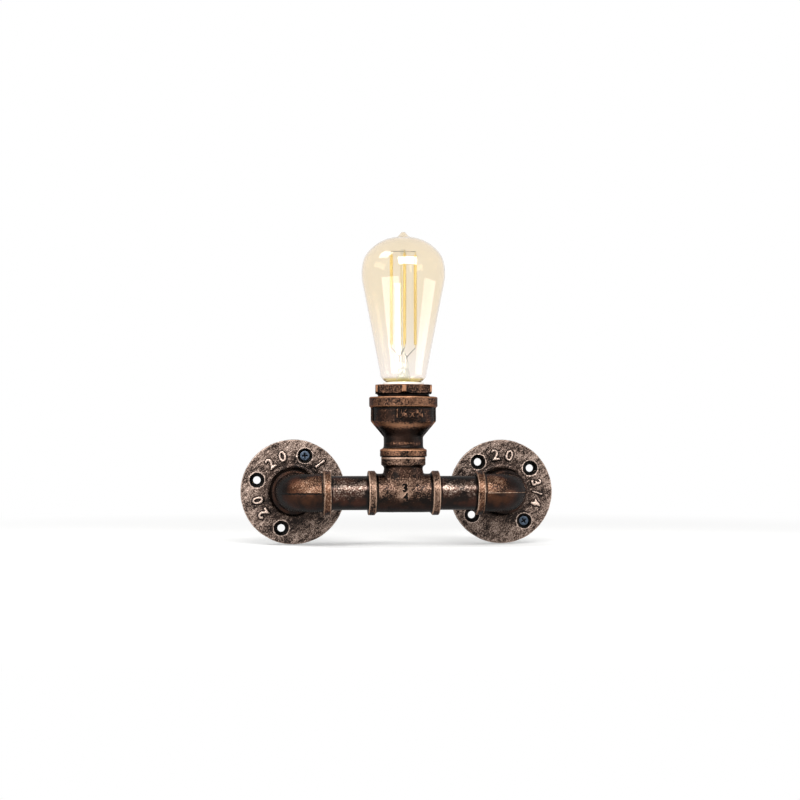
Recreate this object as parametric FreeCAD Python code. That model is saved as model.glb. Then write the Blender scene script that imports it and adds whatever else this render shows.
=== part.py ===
import FreeCAD, Part
import math
import os

# Wall light made of screwed pipe fittings, with a lamp standing on its tee.
# Millimetres. The wall is the plane y = 0 and the room is on the -Y side, +Z is up.
# The origin lies on the wall, midway between the two flanges, level with the pipe run.

V = FreeCAD.Vector
ORIGIN = V(0, 0, 0)
ALONG_X = V(1, 0, 0)
ALONG_Y = V(0, 1, 0)
UP = V(0, 0, 1)

# ---- pipe and screwed joints (nominal 3/4 inch; threads are plain at their pitch size)
pipe_r = 13.3
pipe_bore_r = 10.5
thread_depth = 13.5
mouth_chamfer = 0.9
cast_passage_r = 11.8

# ---- cast bands round the mouths of the fittings
band_r = 17.6
band_w = 6.2
band_edge = 0.7
band_fillet = 1.2

# ---- wall flanges
flange_r = 42.5
flange_plate = 5.0
flange_rim = 1.0
flange_h = 19.5
hub_r = 18.0
hub_foot_r = 22.5
hub_shoulder_h = 10.5
screw_circle_r = 30.5
screw_hole_r = 3.0
screw_holes = 4
sink_mouth_r = 6.0
left_first_hole_deg = 72.0
right_first_hole_deg = 38.3
flange_nipple_back = 3.0
flange_gap = 1.3

# ---- elbows
elbow_reach = 28.0
elbow_sweep_r = 17.0
elbow_body_r = 15.1

# ---- tee and the pipe run
tee_reach = 28.1
tee_body_r = 15.4
tee_neck_r = 15.5
side_pipe_seen = 28.4
pipe_depth = flange_h + flange_gap + elbow_reach
half_spacing = elbow_reach + side_pipe_seen + tee_reach

# ---- reducing socket, standing on the tee's branch
riser_gap = 0.3
socket_z = tee_reach + riser_gap
socket_h = 46.7
socket_foot_r = 18.6
socket_foot_h = 5.8
socket_neck_r = 15.65
socket_neck_z = socket_z + 8.2
socket_cone_z = socket_z + 16.8
socket_bell_z = socket_z + 26.5
socket_bell_r = 24.2
socket_band_r = 27.0
socket_band_h = 8.3
socket_passage_r = 12.0
socket_chamber_r = 18.6
socket_seat_z = socket_z + 28.3
rib_r = 25.8
rib_w = 3.0

# ---- hexagon bushing in the socket's mouth (nominal 1 1/4 inch outside)
bushing_thread_r = 20.95
bushing_bore_r = 16.2
bushing_gap = 2.1
hex_across = 44.0
hex_h = 7.2
hex_turn_deg = -4.2
hex_z = socket_z + socket_h + bushing_gap
hex_top = hex_z + hex_h

# ---- lampholder, clamped by its collar between the bushing and a washer
washer_t = 0.8
washer_r = 20.6
washer_hole_r = 16.2
tag_w = 4.0
tag_x = -17.4
tag_drop = 5.7
collar_r = 19.2
collar_t = 3.0
cushion_t = 0.8
holder_r = 15.95
holder_bore_r = 14.1
holder_proud = 1.8
holder_base_r = 9.5
holder_base_z = 47.0
holder_floor_z = 55.5
holder_rim = 0.5
collar_z = socket_seat_z + washer_t
cushion_z = collar_z + collar_t
bushing_end_z = cushion_z + cushion_t
holder_top = hex_top + holder_proud

# ---- contacts and terminals in the lampholder
shell_wall = 0.6
shell_top_z = holder_top - 2.0
leaf_t = 0.5
leaf_w = 5.0
terminal_y = 5.8
terminal_size = V(7.0, 4.4, 5.0)
terminal_z = 48.0
pocket_clear = 0.3
contact_screw_r = 1.2
contact_head_r = 2.0
contact_head_h = 1.0
conductor_r = 0.5
wire_hole_r = 0.55
wire_hole_x = 2.3
clamp_screw_r = 1.1
clamp_screw_z = 50.0
clamp_screw_end_y = 9.0

# ---- leads inside the fittings
lead_r = 1.1
lead_pitch = 2.5
lead_offset = 8.8
strip_length = 3.4
lead_end_y = -flange_nipple_back

# ---- lamp: screw cap 27 mm, pear-shaped squirrel-cage glass
tip_z = 57.8
tip_r = 2.4
tip_stem_r = 1.45
tip_hole_r = 1.5
tip_t = 1.15
cap_r = 13.2
cap_wall = 0.7
cap_foot_r = 9.5
insulator_z = 59.0
cap_foot_z = 61.0
cap_wall_z = 65.0
cap_top_z = 86.0
glass_wall = 0.8
glass_neck_r = cap_r - cap_wall
glass_foot_z = 80.0
glass_top_z = 204.6
stem_rod_r = 1.5
stem_pinch_z = 98.0
stem_pinch_top = 102.5
stem_top_z = 190.5
filament_count = 4
filament_r = 1.2
filament_ring_r = 9.4
filament_low_z = 116.0
filament_high_z = 186.5
filament_pin = 2.6
wire_r = 0.3
driver_size = V(24.97, 1.2, 14.0)
driver_z = 65.5
driver_capacitor_r = 3.0
driver_capacitor_h = 7.0
driver_solder = 0.3


# ---- building blocks

def outline(start, *steps):
    """Closed outline of (radius, height) points; a step of four numbers is an arc through its first two."""
    edges = []
    here = V(start[0], 0, start[1])
    for step in steps + (start,):
        end = V(step[-2], 0, step[-1])
        if len(step) == 4:
            edges.append(Part.Arc(here, V(step[0], 0, step[1]), end).toShape())
        elif here.distanceToPoint(end) > 1e-6:
            edges.append(Part.LineSegment(here, end).toShape())
        here = end
    return Part.Wire(edges)


def turned(wire):
    """Solid of revolution about Z."""
    solid = Part.Face(wire).revolve(ORIGIN, UP, 360)
    return Part.Solid(solid.Shells[0])


def turned_outline(start, *steps):
    return turned(outline(start, *steps))


def tube(outer_r, inner_r, low, high):
    return turned_outline((inner_r, low), (outer_r, low), (outer_r, high), (inner_r, high))


def block(size, centre):
    """Box of a size, centred in plan on a point and standing on it."""
    corner = centre - V(size.x / 2, size.y / 2, 0)
    return Part.makeBox(size.x, size.y, size.z, corner)


def rod(start, end, radius):
    return Part.makeCylinder(radius, start.distanceToPoint(end), start, end - start)


def fuse_all(shapes):
    return shapes[0].fuse(shapes[1:]).removeSplitter()


def to_x(shape, sense):
    """Lay a shape built along +Z down along +X or -X."""
    turned_shape = shape.copy()
    turned_shape.rotate(ORIGIN, ALONG_Y, 90 * sense)
    return turned_shape


def to_wall(shape):
    """Lay a shape built along +Z down along +Y, towards the wall."""
    turned_shape = shape.copy()
    turned_shape.rotate(ORIGIN, ALONG_X, -90)
    return turned_shape


def to_room(shape):
    """Lay a shape built along +Z down along -Y, its own +Y turning to +Z."""
    turned_shape = shape.copy()
    turned_shape.rotate(ORIGIN, ALONG_X, 90)
    return turned_shape


def moved(shape, x, y, z):
    placed = shape.copy()
    placed.translate(V(x, y, z))
    return placed


def mirrored(shape):
    return shape.mirror(ORIGIN, ALONG_X)


# ---- parts shared by the cast fittings

def banded_end(body_r, start, reach, width):
    """Outside of one leg of a fitting: a plain body with a cast band at its mouth."""
    band_foot = reach - width
    return turned_outline(
        (0, start),
        (body_r, start),
        (body_r, band_foot - band_fillet),
        (body_r + band_fillet, band_foot),
        (band_r - band_edge, band_foot),
        (band_r, band_foot + band_edge),
        (band_r, reach - band_edge),
        (band_r - band_edge, reach),
        (0, reach),
    )


def threaded_mouth(reach):
    """Screwed bore at the end of one leg, with the chamfer at its mouth."""
    bore_foot = reach - thread_depth
    return turned_outline(
        (0, bore_foot),
        (pipe_r, bore_foot),
        (pipe_r, reach - mouth_chamfer),
        (pipe_r + mouth_chamfer, reach),
        (0, reach),
    )


def elbow():
    """Left-hand elbow about its own corner: one mouth faces the wall, the other +X."""
    body = swept_quarter(elbow_body_r, elbow_sweep_r)
    end = banded_end(elbow_body_r, elbow_sweep_r, elbow_reach, band_w)
    casting = fuse_all([body, to_x(end, 1), to_wall(end)])
    mouth = threaded_mouth(elbow_reach)
    passage = swept_quarter(cast_passage_r, elbow_reach - thread_depth)
    return casting.cut([passage, to_x(mouth, 1), to_wall(mouth)])


def swept_quarter(radius, sweep_r):
    """Round bar bent through a quarter turn about the elbow's inner corner."""
    section = Part.Face(Part.Wire(Part.makeCircle(radius, V(sweep_r, 0, 0), ALONG_X)))
    bend_centre = V(sweep_r, sweep_r, 0)
    return Part.Solid(section.revolve(bend_centre, UP, -90).Shells[0])


def ellipse_wire(half_x, half_y, z):
    if half_x > half_y:
        curve = Part.Ellipse(V(half_x, 0, z), V(0, half_y, z), V(0, 0, z))
    else:
        curve = Part.Circle(V(0, 0, z), UP, half_x)
    return Part.Wire(curve.toShape())


def tee_saddle():
    """Neck of the branch, flaring only along the run, as the pattern's fillet does."""
    flare = ((25.0, 4.0), (21.0, 9.0), (17.6, 12.5), (16.0, 15.5), (tee_neck_r, 18.5))
    sections = [ellipse_wire(half_x, tee_neck_r, z) for half_x, z in flare]
    return Part.makeLoft(sections, True)


def tee():
    """Tee with its run along X and its branch upwards."""
    run_end = banded_end(tee_body_r, 0, tee_reach, band_w)
    branch = banded_end(tee_neck_r, 0, tee_reach, band_w + 0.6)
    casting = fuse_all([to_x(run_end, 1), to_x(run_end, -1), branch, tee_saddle()])
    mouth = threaded_mouth(tee_reach)
    inner_end = tee_reach - thread_depth
    run_passage = rod(V(-inner_end, 0, 0), V(inner_end, 0, 0), cast_passage_r)
    branch_passage = rod(ORIGIN, V(0, 0, inner_end), cast_passage_r)
    return casting.cut([run_passage, branch_passage, to_x(mouth, 1), to_x(mouth, -1), mouth])


def nipple(low, high):
    """Length of pipe threaded at both ends, standing along Z."""
    chamfer = 0.8
    return turned_outline(
        (pipe_bore_r, low),
        (pipe_r - chamfer, low),
        (pipe_r, low + chamfer),
        (pipe_r, high - chamfer),
        (pipe_r - chamfer, high),
        (pipe_bore_r, high),
    )


# ---- wall flanges

def flange_disc():
    """Plate and hub of a wall flange, its back on z = 0 and its hub upwards."""
    return turned_outline(
        (pipe_r, 0),
        (flange_r - 0.5, 0),
        (flange_r, 0.5),
        (flange_r, flange_plate - flange_rim),
        (flange_r - flange_rim, flange_plate),
        (hub_foot_r, flange_plate),
        (hub_r + 1.45, flange_plate + 1.6, hub_r + 0.3, hub_shoulder_h),
        (hub_r, flange_h - 0.8),
        (hub_r - 0.8, flange_h),
        (pipe_r + mouth_chamfer, flange_h),
        (pipe_r, flange_h - mouth_chamfer),
    )


def countersunk_hole():
    """Cutter for one screw hole: a straight hole, then a cone that reaches its mouth size at the plate's top."""
    sink_foot = flange_plate - (sink_mouth_r - screw_hole_r)
    over = 2.0
    return turned_outline(
        (0, -over),
        (screw_hole_r, -over),
        (screw_hole_r, sink_foot),
        (sink_mouth_r + over, flange_plate + over),
        (0, flange_plate + over),
    )


def flange(first_hole_deg):
    disc = flange_disc()
    for turn in range(screw_holes):
        angle = math.radians(first_hole_deg + turn * 360 / screw_holes)
        x = screw_circle_r * math.cos(angle)
        y = screw_circle_r * math.sin(angle)
        disc = disc.cut(moved(countersunk_hole(), x, y, 0))
    return to_room(disc)


# ---- reducing socket and bushing

def socket_outside():
    foot_top = socket_z + socket_foot_h
    top = socket_z + socket_h
    band_low = top - socket_band_h
    return turned_outline(
        (0, socket_z),
        (socket_foot_r - band_edge, socket_z),
        (socket_foot_r, socket_z + band_edge),
        (socket_foot_r, foot_top - band_edge),
        (socket_foot_r - 0.5, foot_top),
        (socket_neck_r + 1.0, foot_top + 0.7),
        (socket_neck_r, socket_neck_z),
        (socket_neck_r, socket_cone_z - 1.5),
        (socket_neck_r + 1.5, socket_cone_z + 1.2),
        (socket_bell_r - 1.4, socket_bell_z - 1.6),
        (socket_bell_r, socket_bell_z + 1.2),
        (socket_bell_r, band_low - 1.0),
        (socket_bell_r + 1.0, band_low),
        (socket_band_r - band_edge, band_low),
        (socket_band_r, band_low + band_edge),
        (socket_band_r, top - band_edge),
        (socket_band_r - band_edge, top),
        (0, top),
    )


def socket_inside():
    """From the tee upwards: screwed bore, passage, flared chamber, washer seat, large screwed bore."""
    top = socket_z + socket_h
    bore_top = socket_z + thread_depth + 0.3
    chamber_foot = socket_cone_z + 0.3
    return turned_outline(
        (0, socket_z),
        (pipe_r + mouth_chamfer, socket_z),
        (pipe_r, socket_z + mouth_chamfer),
        (pipe_r, bore_top),
        (socket_passage_r, bore_top + 0.4),
        (socket_passage_r, chamber_foot),
        (socket_chamber_r, chamber_foot + 6.0),
        (socket_chamber_r, socket_seat_z),
        (bushing_thread_r, socket_seat_z),
        (bushing_thread_r, top - mouth_chamfer),
        (bushing_thread_r + mouth_chamfer, top),
        (0, top),
    )


def socket_ribs():
    """The pair of gripping ribs on the sides of the bell, fading out down the cone."""
    band_low = socket_z + socket_h - socket_band_h
    points = (
        (socket_neck_r - 1, socket_cone_z - 2.5),
        (socket_neck_r + 0.4, socket_cone_z - 2.5),
        (rib_r, socket_bell_z + 1.2),
        (rib_r, band_low + 1),
        (socket_neck_r - 1, band_low + 1),
    )
    side = outline(*points)
    plate = Part.Face(side).extrude(V(0, rib_w, 0))
    plate = moved(plate, 0, -rib_w / 2, 0)
    return [plate, mirrored(plate)]


def reducing_socket():
    return fuse_all([socket_outside()] + socket_ribs()).cut(socket_inside())


def hex_prism(across, low, high):
    corner_r = across / 2 / math.cos(math.pi / 6)
    corners = []
    for side in range(7):
        angle = math.radians(hex_turn_deg + 30 + side * 60)
        corners.append(V(corner_r * math.cos(angle), corner_r * math.sin(angle), low))
    return Part.Face(Part.makePolygon(corners)).extrude(V(0, 0, high - low))


def hex_bushing():
    """Hexagon with turned-off corners, on a threaded barrel that reaches the lampholder's collar."""
    corner_r = hex_across / 2 / math.cos(math.pi / 6)
    drop = 1.2
    chamfered = turned_outline(
        (0, hex_z),
        (corner_r - 2 * drop, hex_z),
        (corner_r + 0.2, hex_z + 1.5 * drop),
        (corner_r + 0.2, hex_top - drop),
        (corner_r - 1.6 * drop, hex_top),
        (0, hex_top),
    )
    head = hex_prism(hex_across, hex_z, hex_top).common(chamfered)
    barrel = turned_outline(
        (0, bushing_end_z),
        (bushing_thread_r - 0.8, bushing_end_z),
        (bushing_thread_r, bushing_end_z + 0.8),
        (bushing_thread_r, hex_z),
        (0, hex_z),
    )
    bore = turned_outline(
        (0, bushing_end_z),
        (bushing_bore_r, bushing_end_z),
        (bushing_bore_r, hex_top - 0.6),
        (bushing_bore_r + 0.6, hex_top),
        (0, hex_top),
    )
    return fuse_all([head, barrel]).cut(bore)


# ---- lampholder

def earth_tag_washer():
    """Plate washer under the collar, with a tag bent down for the earth lead."""
    ring = tube(washer_r, washer_hole_r, socket_seat_z, socket_seat_z + washer_t)
    tag_size = V(washer_t, tag_w, tag_drop + washer_t)
    tag = block(tag_size, V(tag_x, 0, socket_seat_z - tag_drop))
    return fuse_all([ring, tag])


def porcelain_blank():
    rim = holder_rim
    return turned_outline(
        (0, holder_base_z),
        (holder_base_r, holder_base_z),
        (holder_r - 0.05, holder_base_z + 7.0),
        (holder_r - 0.05, collar_z),
        (collar_r, collar_z),
        (collar_r, cushion_z),
        (holder_r, cushion_z),
        (holder_r, holder_top - rim),
        (holder_r - rim, holder_top),
        (holder_bore_r + rim, holder_top),
        (holder_bore_r, holder_top - rim),
        (holder_bore_r, holder_floor_z),
        (0, holder_floor_z),
    )


def lampholder_body():
    """Porcelain cup with a clamping collar, and under its floor the two terminal pockets."""
    body = porcelain_blank()
    pocket = V(
        terminal_size.x + 2 * pocket_clear,
        terminal_size.y + 2 * pocket_clear,
        terminal_z + terminal_size.z - holder_base_z,
    )
    for side in (-1, 1):
        y = side * terminal_y
        side_hole_end = V(wire_hole_x, side * (holder_r + 2), clamp_screw_z)
        cuts = [
            block(pocket, V(0, y, holder_base_z)),
            rod(V(0, y, holder_base_z), V(0, y, holder_floor_z + 1), contact_screw_r),
            rod(V(wire_hole_x, y, clamp_screw_z), side_hole_end, clamp_screw_r),
        ]
        body = body.cut(cuts)
    return body


def screw_shell():
    """Threaded shell that takes the lamp's cap, with a tab for the neutral contact screw."""
    outer = holder_bore_r
    wall = tube(outer, outer - shell_wall, holder_floor_z, shell_top_z)
    tab_end = terminal_y - contact_head_r - 0.2
    tab_length = outer - shell_wall / 2 - tab_end
    tab = block(V(leaf_w, tab_length, leaf_t), V(0, -tab_end - tab_length / 2, holder_floor_z))
    hole = rod(V(0, -terminal_y, holder_floor_z), V(0, -terminal_y, holder_floor_z + 1), contact_screw_r)
    return fuse_all([wall, tab]).cut(hole)


def centre_contact():
    """Sprung leaf: flat under its screw, stepped up to a flat that the lamp's tip presses on."""
    low = holder_floor_z
    top = tip_z
    side = Part.makePolygon([
        V(0, 8.2, low),
        V(0, 3.4, low),
        V(0, 1.9, top - leaf_t),
        V(0, -2.6, top - leaf_t),
        V(0, -2.6, top),
        V(0, 2.2, top),
        V(0, 3.7, low + leaf_t),
        V(0, 8.2, low + leaf_t),
        V(0, 8.2, low),
    ])
    leaf = moved(Part.Face(side).extrude(V(leaf_w, 0, 0)), -leaf_w / 2, 0, 0)
    hole = rod(V(0, terminal_y, low - 1), V(0, terminal_y, low + 1), contact_screw_r)
    return leaf.cut(hole)


def terminal(side):
    """Brass block with a blind hole for the wire, the contact screw's thread and a side clamp thread."""
    y = side * terminal_y
    body = block(terminal_size, V(0, y, terminal_z))
    face_y = side * (terminal_y + terminal_size.y)
    cuts = [
        rod(V(0, y, terminal_z + 1), V(0, y, terminal_z + terminal_size.z), contact_screw_r),
        rod(V(wire_hole_x, y, terminal_z), V(wire_hole_x, y, terminal_z + strip_length), wire_hole_r),
        rod(V(wire_hole_x, y, clamp_screw_z), V(wire_hole_x, face_y, clamp_screw_z), clamp_screw_r),
    ]
    return body.cut(cuts)


def contact_screw(side):
    """Pan-head screw from inside the cup down into its terminal."""
    y = side * terminal_y
    seat = holder_floor_z + leaf_t
    head = turned_outline(
        (0, seat),
        (contact_head_r, seat),
        (contact_head_r, seat + contact_head_h * 0.5),
        (contact_head_r * 0.7, seat + contact_head_h),
        (0, seat + contact_head_h),
    )
    shank = rod(V(0, y, terminal_z + 1), V(0, y, seat), contact_screw_r)
    return fuse_all([moved(head, 0, y, 0), shank])


def clamp_screw(side):
    """Headless screw whose end bears on the conductor."""
    start = V(wire_hole_x, side * (terminal_y + conductor_r), clamp_screw_z)
    end = V(wire_hole_x, side * clamp_screw_end_y, clamp_screw_z)
    slot = V(2 * clamp_screw_r, 1.2, 0.5)
    cut = block(slot, V(end.x, end.y, clamp_screw_z - slot.z / 2))
    return rod(start, end, clamp_screw_r).cut(cut)


# ---- leads

def bend(start, corner, end, radius):
    """Quarter or lesser bend of a lead, tangent to both of its runs at start and end."""
    back = (start - corner).normalize()
    ahead = (end - corner).normalize()
    half_turn = (math.pi - back.getAngle(ahead)) / 2
    centre = corner + (back + ahead).normalize() * (radius / math.cos(half_turn))
    axis = ahead.cross(back)
    section = Part.Face(Part.Wire(Part.makeCircle(lead_r, start, back)))
    return Part.Solid(section.revolve(centre, axis, math.degrees(2 * half_turn)).Shells[0])


def lead(points, radii, bare_start):
    """Insulated lead of straight runs and tangent bends, its bare conductor running on to bare_start."""
    pieces = [rod(bare_start, points[0], conductor_r)]
    here = points[0]
    for before, corner, after, radius in zip(points, points[1:], points[2:], radii):
        back = (before - corner).normalize()
        ahead = (after - corner).normalize()
        setback = radius * math.tan((math.pi - back.getAngle(ahead)) / 2)
        bend_start = corner + back * setback
        bend_end = corner + ahead * setback
        pieces.append(rod(here, bend_start, lead_r))
        pieces.append(bend(bend_start, corner, bend_end, radius))
        here = bend_end
    pieces.append(rod(here, points[-1], lead_r))
    return fuse_all(pieces)


def run_points(side):
    """Down the branch, along the bottom of the left pipe, round the elbow and out to the wall."""
    y = -pipe_depth + side * lead_pitch
    x = -half_spacing + side * lead_pitch
    return [
        V(-lead_offset, y, -lead_offset),
        V(x, y, -lead_offset),
        V(x, lead_end_y, -lead_offset),
    ]


def run_radii(side):
    return [9.0, elbow_sweep_r - side * lead_pitch]


def terminal_lead(side):
    """Live or neutral lead, from its terminal down into the riser."""
    y = -pipe_depth + side * terminal_y
    x = wire_hole_x
    insulation_top = terminal_z - 0.4
    points = [
        V(x, y, insulation_top),
        V(x, y, 42.5),
        V(-lead_offset, -pipe_depth + side * lead_pitch, 30.0),
    ]
    bare_start = V(x, y, terminal_z + strip_length)
    return lead(points + run_points(side), [8.0, 8.0] + run_radii(side), bare_start)


def earth_lead():
    """Earth lead, from the washer's tag round the porcelain's foot and down into the riser."""
    y = -pipe_depth
    tag_face = tag_x + washer_t / 2
    points = [
        V(-14.9, y, 50.0),
        V(-10.8, y, 46.1),
        V(-lead_offset, y, 42.0),
    ]
    bare_start = V(tag_face + conductor_r * 0.96, y, socket_seat_z - 2.7)
    return lead(points + run_points(0), [5.0, 5.0] + run_radii(0), bare_start)


# ---- lamp

def bulb_outside():
    """Neck, shoulder, long taper, dome of three tangent arcs and the sealed tip."""
    return turned_outline(
        (0, glass_foot_z),
        (glass_neck_r, glass_foot_z),
        (glass_neck_r, cap_top_z),
        (glass_neck_r + 0.9, cap_top_z + 0.5),
        (16.8, 89.2, 18.3, 94.0),
        (31.5, 161.5),
        (32.77, 171.7, 31.79, 180.64),
        (30.62, 184.17, 28.74, 187.39),
        (19.62, 195.72, 8.0, 199.9),
        (3.7, 201.9, 2.2, glass_top_z - 1.0),
        (0, glass_top_z),
    )


def bulb_inside():
    """The outside moved in by the wall; it runs through the foot, which the stem closes."""
    wall = glass_wall
    return turned_outline(
        (0, glass_foot_z - 1),
        (glass_neck_r - wall, glass_foot_z - 1),
        (glass_neck_r - wall, cap_top_z + 0.6),
        (16.2, 90.0),
        (18.3 - wall, 94.2),
        (31.5 - wall, 161.6),
        (32.77 - wall, 171.7, 31.79 - wall, 180.5),
        (28.2, 186.7),
        (19.1, 195.1, 8.0, 199.0),
        (0, 200.4),
    )


def bulb_glass():
    return bulb_outside().cut(bulb_inside())


def bulb_cap():
    """Screw cap: a drawn shell whose foot is rolled in round the insulator."""
    inner_r = cap_r - cap_wall
    return turned_outline(
        (cap_foot_r, cap_foot_z),
        (cap_foot_r + 2.2, cap_foot_z + 1.0),
        (cap_r, cap_wall_z),
        (cap_r, cap_top_z),
        (inner_r, cap_top_z),
        (inner_r, cap_wall_z + 0.2),
        (cap_foot_r + 1.8, cap_foot_z + 1.7),
        (cap_foot_r, cap_foot_z + 0.9),
    )


def cap_insulator():
    """Black glass button between the cap and its centre contact."""
    return turned_outline(
        (tip_hole_r, insulator_z),
        (tip_r + 0.6, insulator_z),
        (cap_foot_r - 1.2, cap_foot_z - 1.1),
        (cap_foot_r, cap_foot_z),
        (cap_foot_r, cap_foot_z + 0.9),
        (tip_hole_r, cap_foot_z + 0.9),
    )


def solder_tip():
    """Centre contact of the cap: a flat button with a stem through the insulator."""
    return turned_outline(
        (0, tip_z),
        (tip_r - 0.5, tip_z),
        (tip_r, tip_z + 0.5),
        (tip_r, tip_z + tip_t),
        (tip_stem_r, tip_z + tip_t),
        (tip_stem_r, cap_foot_z + 0.7),
        (0, cap_foot_z + 0.7),
    )


def glass_stem():
    """Flared foot sealed to the neck, the pinch that grips the wires, and the rod above it."""
    seal_r = glass_neck_r - glass_wall
    flare = turned_outline(
        (seal_r - 0.9, glass_foot_z),
        (seal_r, glass_foot_z),
        (seal_r, glass_foot_z + 1.0),
        (6.4, glass_foot_z + 3.2),
        (4.4, stem_pinch_z),
        (0, stem_pinch_z),
        (0, stem_pinch_z - 1.2),
        (3.5, stem_pinch_z - 1.2),
        (5.6, glass_foot_z + 2.9),
    )
    pinch = block(V(8.4, 3.2, stem_pinch_top - stem_pinch_z + 1), V(0, 0, stem_pinch_z - 1))
    shaft = rod(V(0, 0, stem_pinch_top - 1), V(0, 0, stem_top_z - 2), stem_rod_r)
    button = rod(V(0, 0, stem_top_z - 3), V(0, 0, stem_top_z), stem_rod_r + 0.8)
    return fuse_all([flare, pinch, shaft, button])


def filament_angles():
    return [math.radians(90 * turn) for turn in range(filament_count)]


def ring_point(angle, z, radius=filament_ring_r):
    return V(radius * math.cos(angle), radius * math.sin(angle), z)


def led_filaments():
    """Four phosphor-coated sticks standing in a ring, each with a metal pin at both ends."""
    sticks = []
    for angle in filament_angles():
        low = ring_point(angle, filament_low_z)
        high = ring_point(angle, filament_high_z)
        pins = rod(low - UP * filament_pin, high + UP * filament_pin, wire_r)
        sticks.append(fuse_all([rod(low, high, filament_r), pins]))
    return Part.Compound(sticks)


def lead_in_wires():
    """Two wires out of the pinch, each forking to the feet of two neighbouring filaments."""
    low_z = filament_low_z - filament_pin
    forks = []
    for pair in (0, 2):
        middle = math.radians(90 * pair + 45)
        side = 1 if pair == 0 else -1
        seal = V(side * 2.9, 0, stem_pinch_top)
        knee = ring_point(middle, stem_pinch_top + 4.0, 4.5)
        feet = [ring_point(math.radians(90 * (pair + step)), low_z) for step in (0, 1)]
        arms = [rod(seal, knee, wire_r)]
        arms += [rod(knee, foot, wire_r) for foot in feet]
        forks.append(fuse_all(arms).cut([glass_stem(), led_filaments()]))
    return Part.Compound(forks)


def top_wires():
    """Wires from the rod's button outwards, each lying on the pin of one filament."""
    wire_z = filament_high_z + filament_pin + wire_r
    wires = []
    for angle in filament_angles():
        start = ring_point(angle, wire_z, stem_rod_r)
        wire = rod(start, ring_point(angle, wire_z, filament_ring_r + wire_r), wire_r)
        wires.append(wire.cut(glass_stem()))
    return Part.Compound(wires)


def lamp_driver():
    """Circuit board across the cap, with its smoothing capacitor."""
    board = block(driver_size, V(0, 0, driver_z))
    capacitor_y = driver_size.y / 2 + driver_capacitor_r - driver_solder
    foot = V(2.5, capacitor_y, driver_z + 3)
    capacitor = rod(foot, foot + UP * driver_capacitor_h, driver_capacitor_r)
    return fuse_all([board, capacitor])


# ---- the whole light

def over_run(shape):
    """Place a shape built about the lamp's axis on the pipe run."""
    return moved(shape, 0, -pipe_depth, 0)


def wall_fittings():
    """Flange, close nipple, elbow and pipe nipple of each side."""
    pieces = {}
    close = to_wall(nipple(elbow_reach - thread_depth, pipe_depth - flange_nipple_back))
    inner_end = tee_reach - thread_depth
    outer_end = half_spacing - elbow_reach + thread_depth
    long_pipe = to_x(nipple(inner_end, outer_end), 1)
    holes = {"left": left_first_hole_deg, "right": right_first_hole_deg}
    for name, side in (("left", -1), ("right", 1)):
        x = side * half_spacing
        corner = elbow() if side < 0 else mirrored(elbow())
        pipe = long_pipe if side > 0 else mirrored(long_pipe)
        pieces[name + "_flange"] = moved(flange(holes[name]), x, 0, 0)
        pieces[name + "_flange_nipple"] = moved(close, x, -pipe_depth, 0)
        pieces[name + "_elbow"] = moved(corner, x, -pipe_depth, 0)
        pieces[name + "_pipe"] = moved(pipe, 0, -pipe_depth, 0)
    return pieces


def centre_stack():
    riser_low = tee_reach - thread_depth
    riser_high = socket_z + thread_depth
    return {
        "tee": over_run(tee()),
        "riser_nipple": over_run(nipple(riser_low, riser_high)),
        "reducing_socket": over_run(reducing_socket()),
        "hex_bushing": over_run(hex_bushing()),
    }


def lampholder():
    screws = [contact_screw(side) for side in (-1, 1)]
    clamps = [clamp_screw(side) for side in (-1, 1)]
    return {
        "cushion_ring": over_run(tube(collar_r, washer_hole_r, cushion_z, bushing_end_z)),
        "earth_tag_washer": over_run(earth_tag_washer()),
        "lampholder_body": over_run(lampholder_body()),
        "screw_shell": over_run(screw_shell()),
        "centre_contact": over_run(centre_contact()),
        "live_terminal": over_run(terminal(1)),
        "neutral_terminal": over_run(terminal(-1)),
        "contact_screws": over_run(Part.Compound(screws)),
        "terminal_clamp_screws": over_run(Part.Compound(clamps)),
        "live_lead": terminal_lead(1),
        "neutral_lead": terminal_lead(-1),
        "earth_lead": earth_lead(),
    }


def lamp():
    return {
        "bulb_glass": over_run(bulb_glass()),
        "bulb_cap": over_run(bulb_cap()),
        "cap_insulator": over_run(cap_insulator()),
        "solder_tip": over_run(solder_tip()),
        "glass_stem": over_run(glass_stem()),
        "led_filaments": over_run(led_filaments()),
        "lead_in_wires": over_run(lead_in_wires()),
        "top_wires": over_run(top_wires()),
        "lamp_driver": over_run(lamp_driver()),
    }


os.makedirs("parts", exist_ok=True)
pieces = {**wall_fittings(), **centre_stack(), **lampholder(), **lamp()}
for node, shape in pieces.items():
    if not shape.isValid() or shape.Volume <= 0:
        raise ValueError(node + " is not a sound solid")
    shape.exportStep("parts/" + node + ".step")
    print(node, len(shape.Solids), round(shape.Volume, 1))
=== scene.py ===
import math

import bpy
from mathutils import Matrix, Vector
from mathutils.kdtree import KDTree


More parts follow.
